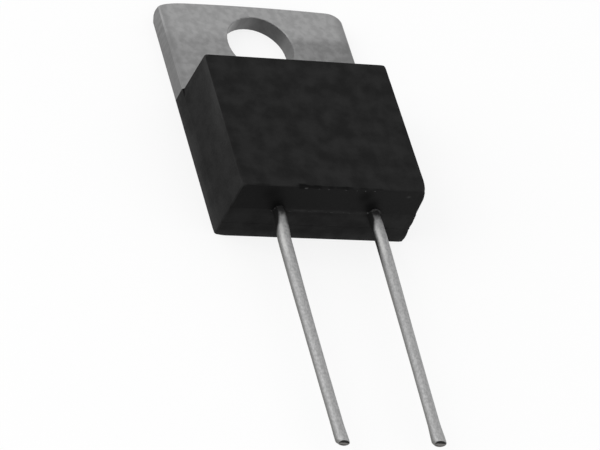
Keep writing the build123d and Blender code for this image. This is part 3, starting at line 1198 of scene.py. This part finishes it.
            # on the left side the worn band widens into painted sheen, near the front and by the corner at
            # the lead end
            by_corner = place.z < self.left_sheen_corner_mm[0] and place.y < self.left_sheen_corner_mm[1]
            left_sheen_zone = vertex.normal.x < -TURNED and (place.z > self.left_sheen_from_mm or by_corner)
            elsewhere = self.left_rub_and_sheen if left_sheen_zone else self.plain_rub
            wide = self.foot_rub if place.z < self.foot_mm else elsewhere
            vertex[rub] = max(0.0, 1.0 - distance / (self.rub_reach_mm * wide))
            rough, fine = unit_noise(place * self.rough_per_mm), unit_noise(place * self.fine_per_mm)
            unevenness = self.even_wear + rough + self.fine_wear * fine
            move = vertex.normal * (-near * near * self.wear_depth_mm * unevenness)
            move -= vertex.normal * self.ripple_mm * unit_noise(place * self.ripple_per_mm) * (1 - near)
            bite = self.chip_bite(place)
            if bite:
                move += bite[0]
                vertex[chip] = bite[1]
            moves[vertex] = move * MM
        for vertex, move in moves.items():
            vertex.co += move

    def chip_bite(self, place: Vector) -> tuple[Vector, float] | None:
        """Work out what the chips along the front edge take from a point.

        Args:
            place: The point, in millimetres.

        Returns:
            How the point moves, in millimetres, and how dark its painted shade is, or None away from chips.
        """
        back, down = place.y - self.shape.face_bottom / MM, self.shape.front / MM - place.z
        reach = math.hypot(max(back, 0.0), max(down, 0.0))
        if max(back, down) >= self.chip_zone_mm and reach >= self.chip_zone_mm:
            return None
        mean, swing = self.ragged_depth
        ragged = mean + swing * noise.noise(Vector((place.x * self.ragged_per_mm, 0.0, 0.0)))
        depth = max(item.depth_at(place.x) for item in self.chips) * ragged
        if reach >= depth:
            return None
        into_edge = Vector((0, 1, -1)).normalized()
        return into_edge * (depth - reach) * self.chip_push, min(1.0, depth / self.shaded_chip_mm)

    def knock(self, mesh: bmesh.types.BMesh) -> None:
        """Blunt the corners that have been knocked, each by a push that fades with distance.

        Args:
            mesh: The case, worn.
        """
        shape = self.shape
        wide, bottom = shape.half_width, shape.case_bottom
        knocks = (  # corner, push and reach, the last two in millimetres
            ((shape.face_half_width, shape.face_bottom, shape.front), (-0.08, 0.08, -0.06), 0.65),
            ((wide, bottom, shape.tab_thickness), (-0.055, 0.055, 0), 0.5),
            ((wide, bottom, 0), (-0.02, 0.05, 0), 0.3),
            ((-wide, bottom, 0), (0.02, 0.08, 0), 0.55),
        )
        for vertex in mesh.verts:
            shares = [1 - (vertex.co - Vector(corner)).length / MM / reach for corner, _, reach in knocks]
            for (_, push, _), share in zip(knocks, shares):
                vertex.co += Vector(push) * MM * max(0.0, share) ** 1.5


# ---------------------------------------------------------------- tab


@dataclass(frozen=True)
class StampedTab:
    """The mounting tab: the CAD solid with its free end slightly bowed and worn at the corners.

    A worn corner is a flat oval, given along the end and along the side, at the back, half
    way up and at the front: the left corner's edge is barrel shaped.
    """

    shape: PartShape
    drawn_mm: float = 0.95  # radius of the corners in the solid
    left_mm: tuple[Vector, ...] = (Vector((1.62, 0.61)), Vector((0.87, 0.26)), Vector((1.71, 0.34)))
    right_mm: tuple[Vector, ...] = (Vector((0.78, 0.66)),) * 3
    bow_mm: float = 0.11
    stations: int = 26  # cuts across the bowed end
    bowed_mm: Limits = (-3.2, 4.0)  # x of the first and the last
    levels_mm: Limits = (0.2, 0.4, 0.6)  # cuts through the thickness
    crease: float = math.radians(35)
    flat_crease: float = math.radians(0.5)  # between flats, and between a flat and a wall
    level: float = 0.9995  # least upward part of a flat's normal
    steep: float = 0.3  # most upward part of a wall's normal
    slack_mm: float = 1e-4

    def build(self, material: Material) -> None:
        """Build the tab in place of its CAD node.

        Args:
            material: Its finish.
        """
        mesh = bmesh.new()
        mesh.from_mesh(frame["nodes"]["mounting_tab"].data)
        bmesh.ops.remove_doubles(mesh, verts=mesh.verts, dist=SAME_PLACE)
        first, last = self.bowed_mm
        across, up = Vector((1, 0, 0)), Vector((0, 0, 1))
        count = self.stations
        cuts = [(across, first + (last - first) * index / (count - 1)) for index in range(count)]
        for direction, place in (*cuts, *((up, level) for level in self.levels_mm)):
            bmesh.ops.bisect_plane(mesh, geom=[*mesh.verts, *mesh.edges, *mesh.faces], dist=SAME_PLACE,
                                   plane_co=direction * (place * MM), plane_no=direction)
        for vertex in mesh.verts:
            vertex.co = self.moved(vertex.co / MM) * MM
        mesh.normal_update()
        for face in mesh.faces:
            face.smooth = True
        for edge in mesh.edges:
            levels = [abs(face.normal.z) for face in edge.link_faces]
            flat = max(levels) > self.level or min(levels) < self.steep < max(levels)
            edge.smooth = edge.calc_face_angle(0.0) < (self.flat_crease if flat else self.crease)
        data = bpy.data.meshes.new("stamped_tab")
        mesh.to_mesh(data)
        mesh.free()
        data.materials.append(material)
        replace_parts(link_piece("stamped_tab", data), "mounting_tab")

    def moved(self, place: Vector) -> Vector:
        """Find where a point of the solid lies on the worn tab.

        Args:
            place: The point, in millimetres.

        Returns:
            Its place on the worn tab, in millimetres.
        """
        half, top = self.shape.half_width / MM, self.shape.tab_top / MM
        back, middle, front = self.left_mm if place.x < 0 else self.right_mm
        share = place.z * MM / self.shape.tab_thickness
        wide, deep = back.lerp(front, share).lerp(middle, 4 * share * (1 - share))
        x, y = abs(place.x) - half + self.drawn_mm, place.y - top + self.drawn_mm
        if x > -self.slack_mm and y > -self.slack_mm:
            reach = math.hypot(x, y)
            inset = self.drawn_mm - reach
            x = half - wide + (wide - inset) * x / reach
            place = Vector((math.copysign(x, place.x), top - deep + (deep - inset) * y / reach, place.z))
        fall = self.bow_mm * (place.x / half) ** 2 * smooth(place.y, 0.0, top)
        return place - Vector((0, fall, 0))


# ---------------------------------------------------------------- wire leads


@dataclass
class WireLead:
    """One tinned wire lead: soldered end, lean and a sheared tip, grown along a curve."""

    side: Side
    jog_mm: float  # sideways place of the wire where it leaves the case
    aside_mm: float  # the same along its free length
    bow_mm: float = 0.0
    kick_mm: float = 0.0  # sideways push of the cut end
    swell: float = 0.08  # share by which tin and resin thicken the wire at the case
    waist: float = 0.0
    flare: float = 0.03  # burr of the cut end
    points: int = 130
    sides: int = 32
    tip_radius_mm: float = 0.035
    tip_crowding: float = 1.7  # how much closer the rings stand towards the tip
    slant_mm: float = 0.13  # how much shorter the cut leaves the left side
    crater_mm: float = 0.03
    lump_mm: float = 0.008
    flat_overrun_mm: float = 0.3  # how far the coined flat passes the ceramic plate

    def build(self, tree: RuleTree, exit_y: float, wire: Material, cut: Material) -> Piece:
        """Grow the lead in place of its CAD node.

        Args:
            tree: The tree that both leads share.
            exit_y: Where the wire leaves the case.
            wire: Finish of the wire.
            cut: Finish of the sheared end.

        Returns:
            The piece.
        """
        line = LeadLine.read(self.side)
        mesh = tree.grow({
            "Start": line.start, "Slope": line.slope, "Length": line.start.y - line.tip,
            "Exit": line.start.y - exit_y, "Bend": line.start.y - line.bend, "Radius": line.radius,
            "Points": self.points, "Sides": self.sides, "Tip Radius": self.tip_radius_mm * MM,
            "Crowding": self.tip_crowding, "Jog": self.jog_mm * MM, "Aside": self.aside_mm * MM,
            "Bow": self.bow_mm * MM, "Kick": self.kick_mm * MM, "Swell": self.swell, "Waist": self.waist,
            "Flare": self.flare, "Slant": self.slant_mm * MM, "Crater": self.crater_mm * MM,
            "Lump": self.lump_mm * MM,
            "Flat Level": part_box(f"termination_{self.side.value}")[1].z,
            "Flat End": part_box("ceramic_plate")[0].y - self.flat_overrun_mm * MM,
            "Wire": wire, "Cut": cut})
        piece = link_piece(f"wire_lead_{self.side.value}", mesh)
        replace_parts(piece, f"lead_{self.side.value}")
        return piece


# Places along a wire, in metres: out of the case, before its tip, or both as a pair of limits.
BEND_BLUR = 0.25 * MM
SETTLING = (0.0, 1.9 * MM)  # out of the case, where the wire comes to its own line
LET_GO = (-1.1 * MM, -0.1 * MM)  # the last stretch inside, where it may first stand aside
KICKED = (0.75 * MM, 0.0)  # before the tip, where the blade has pushed it
THINNING = (8.0 * MM, 1.0 * MM)  # out of the case, where tin and resin thicken it
SWELLING = (-0.3 * MM, 0.3 * MM)
FLARED = (1.2 * MM, 0.2 * MM)  # before the tip
PULLED = (0.17 * MM, 0.0)
SLANTED = (0.5 * MM, 0.0)
LUMPS_PER_METRE = (1.6 / MM, 0.6 / MM, 1.6 / MM)
ACROSS = (0.85, 0.0, 0.53)  # from the lower left side of a wire to its upper right side
RISE = (-0.53, 0.0, 0.85)  # square to that
PULL = (0.5, 0.3)  # across and up, of the short side of the cut, as shares of its slant
END_FACE = -0.93  # most that the end's normals point along Y, and
ROUND_WALL = -0.9  # least that the others do
CRATER_SCALE = 0.93
EXIT_RISE = 0.11 * MM  # from the case's lowest edge up to where a wire leaves it


def lead_tree() -> RuleTree:
    """Build the tree that grows a lead: centre line, thickness, soldered flat and sheared tip.

    Returns:
        The tree, with an input for each size of a lead.
    """
    rule = RuleTree("wire_lead")
    tree = rule.tree
    start, slope = rule.value("Start", "Vector"), rule.value("Slope", "Vector")
    length, leave, bend = rule.value("Length"), rule.value("Exit"), rule.value("Bend")
    radius, tip_radius, crowding = rule.value("Radius"), rule.value("Tip Radius"), rule.value("Crowding")
    points, sides = rule.value("Points", "Int"), rule.value("Sides", "Int")
    jog, aside, bow, kick = (rule.value(name) for name in ("Jog", "Aside", "Bow", "Kick"))
    swell, waist, flare = rule.value("Swell"), rule.value("Waist"), rule.value("Flare")
    slant, crater, lump = rule.value("Slant"), rule.value("Crater"), rule.value("Lump")
    flat_level, flat_end = rule.value("Flat Level"), rule.value("Flat End")
    wire, cut = rule.value("Wire", "Material"), rule.value("Cut", "Material")

    # Stations along the wire stand closer together towards the tip.
    line = add_node(tree, "GeometryNodeCurvePrimitiveLine", {"Start": (0, 0, 0), "End": (0, -0.01, 0)})
    rings = add_node(tree, "GeometryNodeResampleCurve", {"Curve": line.outputs[0], "Count": points})
    even = add_node(tree, "GeometryNodeCaptureAttribute")
    even.capture_items.new("FLOAT", "Along")
    tree.links.new(rings.outputs[0], even.inputs["Geometry"])
    tree.links.new(add_node(tree, "GeometryNodeSplineParameter").outputs["Factor"], even.inputs["Along"])
    share = add_node(tree, MATH, {0: 1.0, 1: even.outputs["Along"]}, operation="SUBTRACT").outputs[0]
    crowded = add_node(tree, MATH, {0: share, 1: crowding}, operation="POWER").outputs[0]
    to_tip = product(tree, length, crowded)
    run = add_node(tree, MATH, {0: length, 1: to_tip}, operation="SUBTRACT").outputs[0]
    out = add_node(tree, MATH, {0: run, 1: leave}, operation="SUBTRACT").outputs[0]
    free = add_node(tree, FADE, {0: run, 1: bend, 2: length}, interpolation_type="LINEAR").outputs[0]
    settled, let_go, thickened, swollen = (
        add_node(tree, FADE, {0: out, 1: limits[0], 2: limits[1]}).outputs[0]
        for limits in (SETTLING, LET_GO, THINNING, SWELLING))
    kicked, flared = (
        add_node(tree, FADE, {0: to_tip, 1: limits[0], 2: limits[1]}).outputs[0]
        for limits in (KICKED, FLARED))

    # Centre line: straight, then leaning, with the sideways wander of a handled wire.
    past = add_node(tree, MATH, {0: run, 1: bend}, operation="SUBTRACT").outputs[0]
    past_bend = add_node(tree, MATH, {0: past, 1: 0.0, 2: BEND_BLUR}, operation="SMOOTH_MAX").outputs[0]
    lean = add_node(tree, VECTOR, {0: slope, "Scale": past_bend}, operation="SCALE").outputs[0]
    change = add_node(tree, MATH, {0: aside, 1: jog}, operation="SUBTRACT").outputs[0]
    wander = add_node(tree, MATH, {0: jog, 1: product(tree, change, settled)}, operation="ADD").outputs[0]
    arched = add_node(tree, MATH, {0: product(tree, free, math.pi)}, operation="SINE").outputs[0]
    sideways = product(tree, wander, let_go)
    for push in (product(tree, bow, arched), product(tree, kick, kicked)):
        sideways = add_node(tree, MATH, {0: sideways, 1: push}, operation="ADD").outputs[0]
    offset = add_node(tree, "ShaderNodeCombineXYZ", {"X": sideways, "Y": product(tree, run, -1.0)})
    place = add_node(tree, VECTOR, {0: start, 1: offset.outputs[0]}, operation="ADD").outputs[0]
    place = add_node(tree, VECTOR, {0: place, 1: lean}, operation="ADD").outputs[0]
    path = add_node(tree, "GeometryNodeSetPosition", {
        "Geometry": even.outputs["Geometry"], "Position": place})

    # Thickness: swollen at the case, a slight waist, flared and rounded over at the tip.
    beyond = add_node(tree, MATH, {0: tip_radius, 1: to_tip}, operation="SUBTRACT").outputs[0]
    inside = add_node(tree, MATH, {0: beyond, 1: 0.0}, operation="MAXIMUM").outputs[0]
    squares = {0: product(tree, tip_radius, tip_radius), 1: product(tree, inside, inside)}
    square = add_node(tree, MATH, squares, operation="SUBTRACT").outputs[0]
    round_over = add_node(tree, MATH, {0: square}, operation="SQRT").outputs[0]
    core = add_node(tree, MATH, {0: radius, 1: tip_radius}, operation="SUBTRACT").outputs[0]
    body = add_node(tree, MATH, {0: core, 1: round_over}, operation="ADD").outputs[0]
    narrowed = add_node(tree, MATH, {0: product(tree, free, free, math.pi)}, operation="SINE").outputs[0]
    girth: Any = 1.0
    for sign, change in (("ADD", product(tree, swell, thickened, swollen)),
                         ("SUBTRACT", product(tree, waist, narrowed)), ("ADD", product(tree, flare, flared))):
        girth = add_node(tree, MATH, {0: girth, 1: change}, operation=sign).outputs[0]
    kept = add_node(tree, "GeometryNodeCaptureAttribute")
    kept.capture_items.new("VECTOR", "Centre")
    kept.capture_items.new("FLOAT", "Out")
    position = add_node(tree, "GeometryNodeInputPosition").outputs[0]
    for key, socket in (("Geometry", path.outputs[0]), ("Centre", position), ("Out", out)):
        tree.links.new(socket, kept.inputs[key])
    ring = add_node(tree, "GeometryNodeCurvePrimitiveCircle", {"Resolution": sides, "Radius": 1.0})
    tube = add_node(tree, "GeometryNodeCurveToMesh", {
        "Curve": kept.outputs["Geometry"], "Profile Curve": ring.outputs[0],
        "Scale": product(tree, body, girth), "Fill Caps": True})

    # What the finish reads: how far out of the case, where across the wire, from its lower
    # left side at -1 to its upper right side at 1, and how high on a line square to that.
    spoke = add_node(tree, VECTOR, {0: position, 1: kept.outputs["Centre"]}, operation="SUBTRACT").outputs[0]
    stored = {}
    for name, direction in (("across", ACROSS), ("rise", RISE)):
        turn = add_node(tree, VECTOR, {0: spoke, 1: direction}, operation="DOT_PRODUCT").outputs["Value"]
        stored[name] = add_node(tree, MATH, {0: turn, 1: radius}, operation="DIVIDE").outputs[0]
    stored["out"] = kept.outputs["Out"]
    marked = tube.outputs[0]
    for name, value in stored.items():
        marked = add_node(tree, "GeometryNodeStoreNamedAttribute", {
            "Geometry": marked, "Name": name, "Value": value}).outputs[0]

    # Lumps in the tin outside, and the coined flat under the soldered end.
    normal = add_node(tree, "GeometryNodeInputNormal").outputs[0]
    grain = add_node(tree, VECTOR, {0: position, 1: LUMPS_PER_METRE}, operation="MULTIPLY").outputs[0]
    lumps = add_node(tree, "ShaderNodeTexNoise", {"Vector": grain, "Scale": 1.0, "Detail": 2.0})
    centred = add_node(tree, MATH, {0: lumps.outputs["Fac"], 1: 0.5}, operation="SUBTRACT").outputs[0]
    height = product(tree, lump, centred, 2.0)
    push = add_node(tree, VECTOR, {0: normal, "Scale": height}, operation="SCALE").outputs[0]
    parts = add_node(tree, "ShaderNodeSeparateXYZ", {0: position}).outputs
    free_part, soldered = (
        add_node(tree, MATH, {0: parts["Y"], 1: flat_end}, operation=name).outputs[0]
        for name in ("LESS_THAN", "GREATER_THAN"))
    lumpy = add_node(tree, "GeometryNodeSetPosition", {
        "Geometry": marked, "Offset": push, "Selection": free_part})
    level = add_node(tree, MATH, {0: parts["Z"], 1: flat_level}, operation="MAXIMUM").outputs[0]
    pressed = add_node(tree, "ShaderNodeCombineXYZ", {"X": parts["X"], "Y": parts["Y"], "Z": level})
    coined = add_node(tree, "GeometryNodeSetPosition", {
        "Geometry": lumpy.outputs[0], "Position": pressed.outputs[0], "Selection": soldered})

    # Sheared end: cut aslant, with a rim round a shallow crater.
    on_left = {0: stored["across"], 1: -0.5, 2: 0.5}
    left_side = add_node(tree, MATH, on_left, operation="MULTIPLY_ADD").outputs[0]
    outside = add_node(tree, MATH, {0: length, 1: leave}, operation="SUBTRACT").outputs[0]
    to_cut = add_node(tree, MATH, {0: outside, 1: kept.outputs["Out"]}, operation="SUBTRACT").outputs[0]
    pulled, slanted = (
        add_node(tree, FADE, {0: to_cut, 1: limits[0], 2: limits[1]}).outputs[0]
        for limits in (PULLED, SLANTED))
    pull = product(tree, slant, left_side, pulled)
    drawn = add_node(tree, "ShaderNodeCombineXYZ", {
        "X": product(tree, pull, PULL[0]), "Y": product(tree, slant, left_side, slanted),
        "Z": product(tree, pull, PULL[1])}).outputs[0]
    aslant = add_node(tree, "GeometryNodeSetPosition", {"Geometry": coined.outputs[0], "Offset": drawn})
    outward = add_node(tree, "ShaderNodeSeparateXYZ", {0: normal}).outputs["Y"]
    end_face = add_node(tree, MATH, {0: outward, 1: END_FACE}, operation="LESS_THAN").outputs[0]
    round_wall = add_node(tree, MATH, {0: outward, 1: ROUND_WALL}, operation="GREATER_THAN").outputs[0]
    inset = add_node(tree, "GeometryNodeExtrudeMesh", {
        "Mesh": aslant.outputs[0], "Selection": end_face, "Offset Scale": 0.0, "Individual": False})
    shrunk = add_node(tree, "GeometryNodeScaleElements", {
        "Geometry": inset.outputs["Mesh"], "Selection": inset.outputs["Top"], "Scale": CRATER_SCALE})
    hollow = add_node(tree, "GeometryNodeExtrudeMesh", {
        "Mesh": shrunk.outputs[0], "Selection": inset.outputs["Top"], "Individual": False,
        "Offset Scale": product(tree, crater, -1.0)})
    torn = {0: hollow.outputs["Top"], 1: hollow.outputs["Side"]}
    sheared = add_node(tree, MATH, torn, operation="MAXIMUM").outputs[0]
    smoothed = add_node(tree, "GeometryNodeSetShadeSmooth", {
        "Geometry": hollow.outputs["Mesh"], "Selection": round_wall})
    rule.finish(smoothed.outputs[0], wire, (sheared, cut))
    return rule


# ---------------------------------------------------------------- mould flash


@dataclass
class MouldFlash:
    """Thin flakes and crumbs of resin left along a line of the mould."""

    name: str
    start: Vector
    end: Vector
    count: int
    size: Vector  # half lengths of a flake
    spread: Vector
    seed: int
    arch: float = 0.0  # how far the line bulges towards the front

    def build(self, tree: RuleTree, material: Material) -> Piece:
        """Grow the flakes along the line.

        Args:
            tree: The tree that all runs of flash share.
            material: Finish of the flakes.

        Returns:
            The piece.
        """
        mesh = tree.grow({
            "Start": self.start * MM, "Step": (self.end - self.start) * MM / max(1, self.count - 1),
            "Count": self.count, "Size": self.size * MM, "Spread": self.spread * MM, "Seed": self.seed,
            "Arch": self.arch * MM, "Resin": material})
        return link_piece(self.name, mesh)


CRUMB_GRAIN = 14 / MM  # of the noise that breaks a crumb
LEAST_CRUMB = (0.3, 0.4, 0.4)  # shares of the size of a flake
LARGEST_CRUMB = (1.4, 1.1, 1.1)


def flash_tree() -> RuleTree:
    """Build the tree that strews flakes of resin along a line.

    Returns:
        The tree, with inputs for the line and for the flakes.
    """
    rule = RuleTree("mould_flash")
    tree = rule.tree
    start, step = rule.value("Start", "Vector"), rule.value("Step", "Vector")
    count, size = rule.value("Count", "Int"), rule.value("Size", "Vector")
    spread, seed = rule.value("Spread", "Vector"), rule.value("Seed", "Int")
    arch, resin = rule.value("Arch"), rule.value("Resin", "Material")
    line = add_node(tree, "GeometryNodeMeshLine", {"Count": count, "Start Location": start, "Offset": step})
    last = add_node(tree, MATH, {0: count, 1: 1.0}, operation="SUBTRACT").outputs[0]
    spans = add_node(tree, MATH, {0: last, 1: 1.0}, operation="MAXIMUM").outputs[0]
    index = add_node(tree, "GeometryNodeInputIndex").outputs[0]
    along = add_node(tree, MATH, {0: index, 1: spans}, operation="DIVIDE").outputs[0]
    arched = add_node(tree, MATH, {0: product(tree, along, math.pi)}, operation="SINE").outputs[0]
    bulge = add_node(tree, "ShaderNodeCombineXYZ", {"Z": product(tree, arch, arched)}).outputs[0]
    jitter = add_node(tree, "FunctionNodeRandomValue", {0: (-1, -1, -1), 1: (1, 1, 1), "Seed": seed},
                      data_type="FLOAT_VECTOR").outputs[0]
    shift = add_node(tree, VECTOR, {0: jitter, 1: spread}, operation="MULTIPLY").outputs[0]
    moved = add_node(tree, VECTOR, {0: shift, 1: bulge}, operation="ADD").outputs[0]
    strewn = add_node(tree, "GeometryNodeSetPosition", {"Geometry": line.outputs[0], "Offset": moved})

    # One crumb on each point, each of another size, and all broken by a fine noise.
    crumb = add_node(tree, "GeometryNodeMeshIcoSphere", {"Radius": 1.0, "Subdivisions": 2})
    next_seed = add_node(tree, MATH, {0: seed, 1: 1.0}, operation="ADD").outputs[0]
    sizes = {0: LEAST_CRUMB, 1: LARGEST_CRUMB, "Seed": next_seed}
    vary = add_node(tree, "FunctionNodeRandomValue", sizes, data_type="FLOAT_VECTOR").outputs[0]
    scale = add_node(tree, VECTOR, {0: vary, 1: size}, operation="MULTIPLY").outputs[0]
    crumbs = add_node(tree, "GeometryNodeInstanceOnPoints", {
        "Points": strewn.outputs[0], "Instance": crumb.outputs[0], "Scale": scale})
    real = add_node(tree, "GeometryNodeRealizeInstances", {"Geometry": crumbs.outputs[0]})
    position = add_node(tree, "GeometryNodeInputPosition").outputs[0]
    grain = add_node(tree, "ShaderNodeTexNoise", {"Vector": position, "Scale": CRUMB_GRAIN, "Detail": 1.0})
    middle = {0: grain.outputs["Color"], 1: (0.5, 0.5, 0.5)}
    centred = add_node(tree, VECTOR, middle, operation="SUBTRACT").outputs[0]
    rough = add_node(tree, VECTOR, {0: centred, 1: size}, operation="MULTIPLY").outputs[0]
    broken = add_node(tree, "GeometryNodeSetPosition", {"Geometry": real.outputs[0], "Offset": rough})
    rule.finish(broken.outputs[0], resin)
    return rule


def flash_runs(shape: PartShape, leads: list[WireLead]) -> list[MouldFlash]:
    """Place the runs of flash: on the insert's ledge, on the front edge and over each lead.

    Args:
        shape: Stations of the part.
        leads: The left lead and the right one.

    Returns:
        The runs, each with its own seed.
    """
    ledge = Vector((0, shape.case_bottom / MM + 0.12, 1.9))
    edge = Vector((0, shape.face_bottom / MM - 0.05, shape.front / MM - 0.1))
    left, right = (LeadLine.read(lead.side).start / MM + Vector((lead.jog_mm, 0, 0)) for lead in leads)
    left.y = right.y = ledge.y - 0.03
    return [
        MouldFlash("flash_ledge", ledge + Vector((-1.9, 0, 0)), ledge + Vector((2.0, 0, 0)), 9,
                   size=Vector((0.09, 0.01, 0.014)), spread=Vector((0.25, 0.006, 0.05)), seed=3),
        MouldFlash("flash_front_edge", edge + Vector((-1.6, 0, 0)), edge + Vector((2.3, 0, 0)), 7,
                   size=Vector((0.09, 0.025, 0.055)), spread=Vector((0.25, 0.01, 0.03)), seed=11),
        MouldFlash("flash_hood_right", right + Vector((-0.3, 0, 0.1)), right + Vector((0.33, 0, 0.12)), 15,
                   size=Vector((0.05, 0.06, 0.045)), spread=Vector((0.015, 0.02, 0.015)), seed=5, arch=0.25),
        MouldFlash("flash_hood_left", left + Vector((-0.36, 0, -0.05)), left + Vector((-0.2, 0, 0.25)), 4,
                   size=Vector((0.04, 0.04, 0.035)), spread=Vector((0.02, 0.02, 0.02)), seed=8),
    ]


def dress_element() -> None:
    """Give the sealed element's nodes their finishes."""
    # Reflowed solder is bright, fired silver paste satin and sintered alumina a matt off-white.
    # The film is dull and almost black, and its fired glaze a glossy dark green.
    solder = Fired("solder_reflowed", "#bcbcbc", "#a8a8a8", 0.3, 0.3, metallic=1.0).build()
    silver = Fired("silver_thick_film_fired", "#d6d6d2", "#c2c2be", 0.06, 0.42, metallic=1.0).build()
    finishes = {
        "plate_solder": solder,
        "ceramic_plate": Fired("alumina_sintered", "#eceae4", "#dddbd4", 0.05, 0.7).build(),
        "resistive_film": Fired("ruthenium_film_fired", "#1f1f21", "#2b2b2d", 0.04, 0.5).build(),
        "film_glaze": Fired("glass_glaze_fired", "#24473a", "#1d3b31", 0.2, 0.15).build(),
    }
    for side in Side:
        finishes[f"termination_{side.value}"] = silver
        finishes[f"lead_solder_{side.value}"] = solder
    for node, material in finishes.items():
        dress(node, material)


def main() -> None:
    """Build the scene piece by piece."""
    logging.basicConfig(level=logging.INFO, format="%(message)s")
    bpy.context.scene.view_settings.view_transform = "Standard"
    Studio().build()
    Viewpoint().build()
    shape = PartShape.read()
    epoxy = MouldedEpoxy().build()
    sheared = ShearedWire().build()
    leads = [
        WireLead(Side.LEFT, jog_mm=0.2, aside_mm=0.05, bow_mm=-0.033, kick_mm=0.02, swell=0.1, flare=0.06),
        WireLead(Side.RIGHT, jog_mm=-0.02, aside_mm=0.03, kick_mm=0.015, waist=0.03, flare=0.12,
                 slant_mm=0.1),
    ]
    tinnings = [
        TinnedWire(Side.LEFT, bare_left=0.15, run_out=0.55, tail=-1.5, bare_right=0.5),
        TinnedWire(Side.RIGHT, bare_left=0.2, run_out=0.75, tail=-0.64, bare_right=1.1),
    ]
    CaseMoulding(shape).build(epoxy, leads)
    StampedTab(shape).build(PlatedCopper(shape).build())
    grower = lead_tree()
    for lead, tinning in zip(leads, tinnings):
        lead.build(grower, shape.case_bottom + EXIT_RISE, tinning.build(), sheared)
    # Thin flash stays dark, and resin that has broken across is paler and duller.
    thin = Fired("epoxy_flash_thin", "#303030", "#1e1e1e", 0.08, 0.6, specular=0.2).build()
    broken = Fired("epoxy_broken", "#444444", "#2e2e2e", 0.1, 0.7, specular=0.1).build()
    strewer = flash_tree()
    for run in flash_runs(shape, leads):
        run.build(strewer, thin if run.name == "flash_ledge" else broken)
    dress_element()


if __name__ == "__main__":
    main()
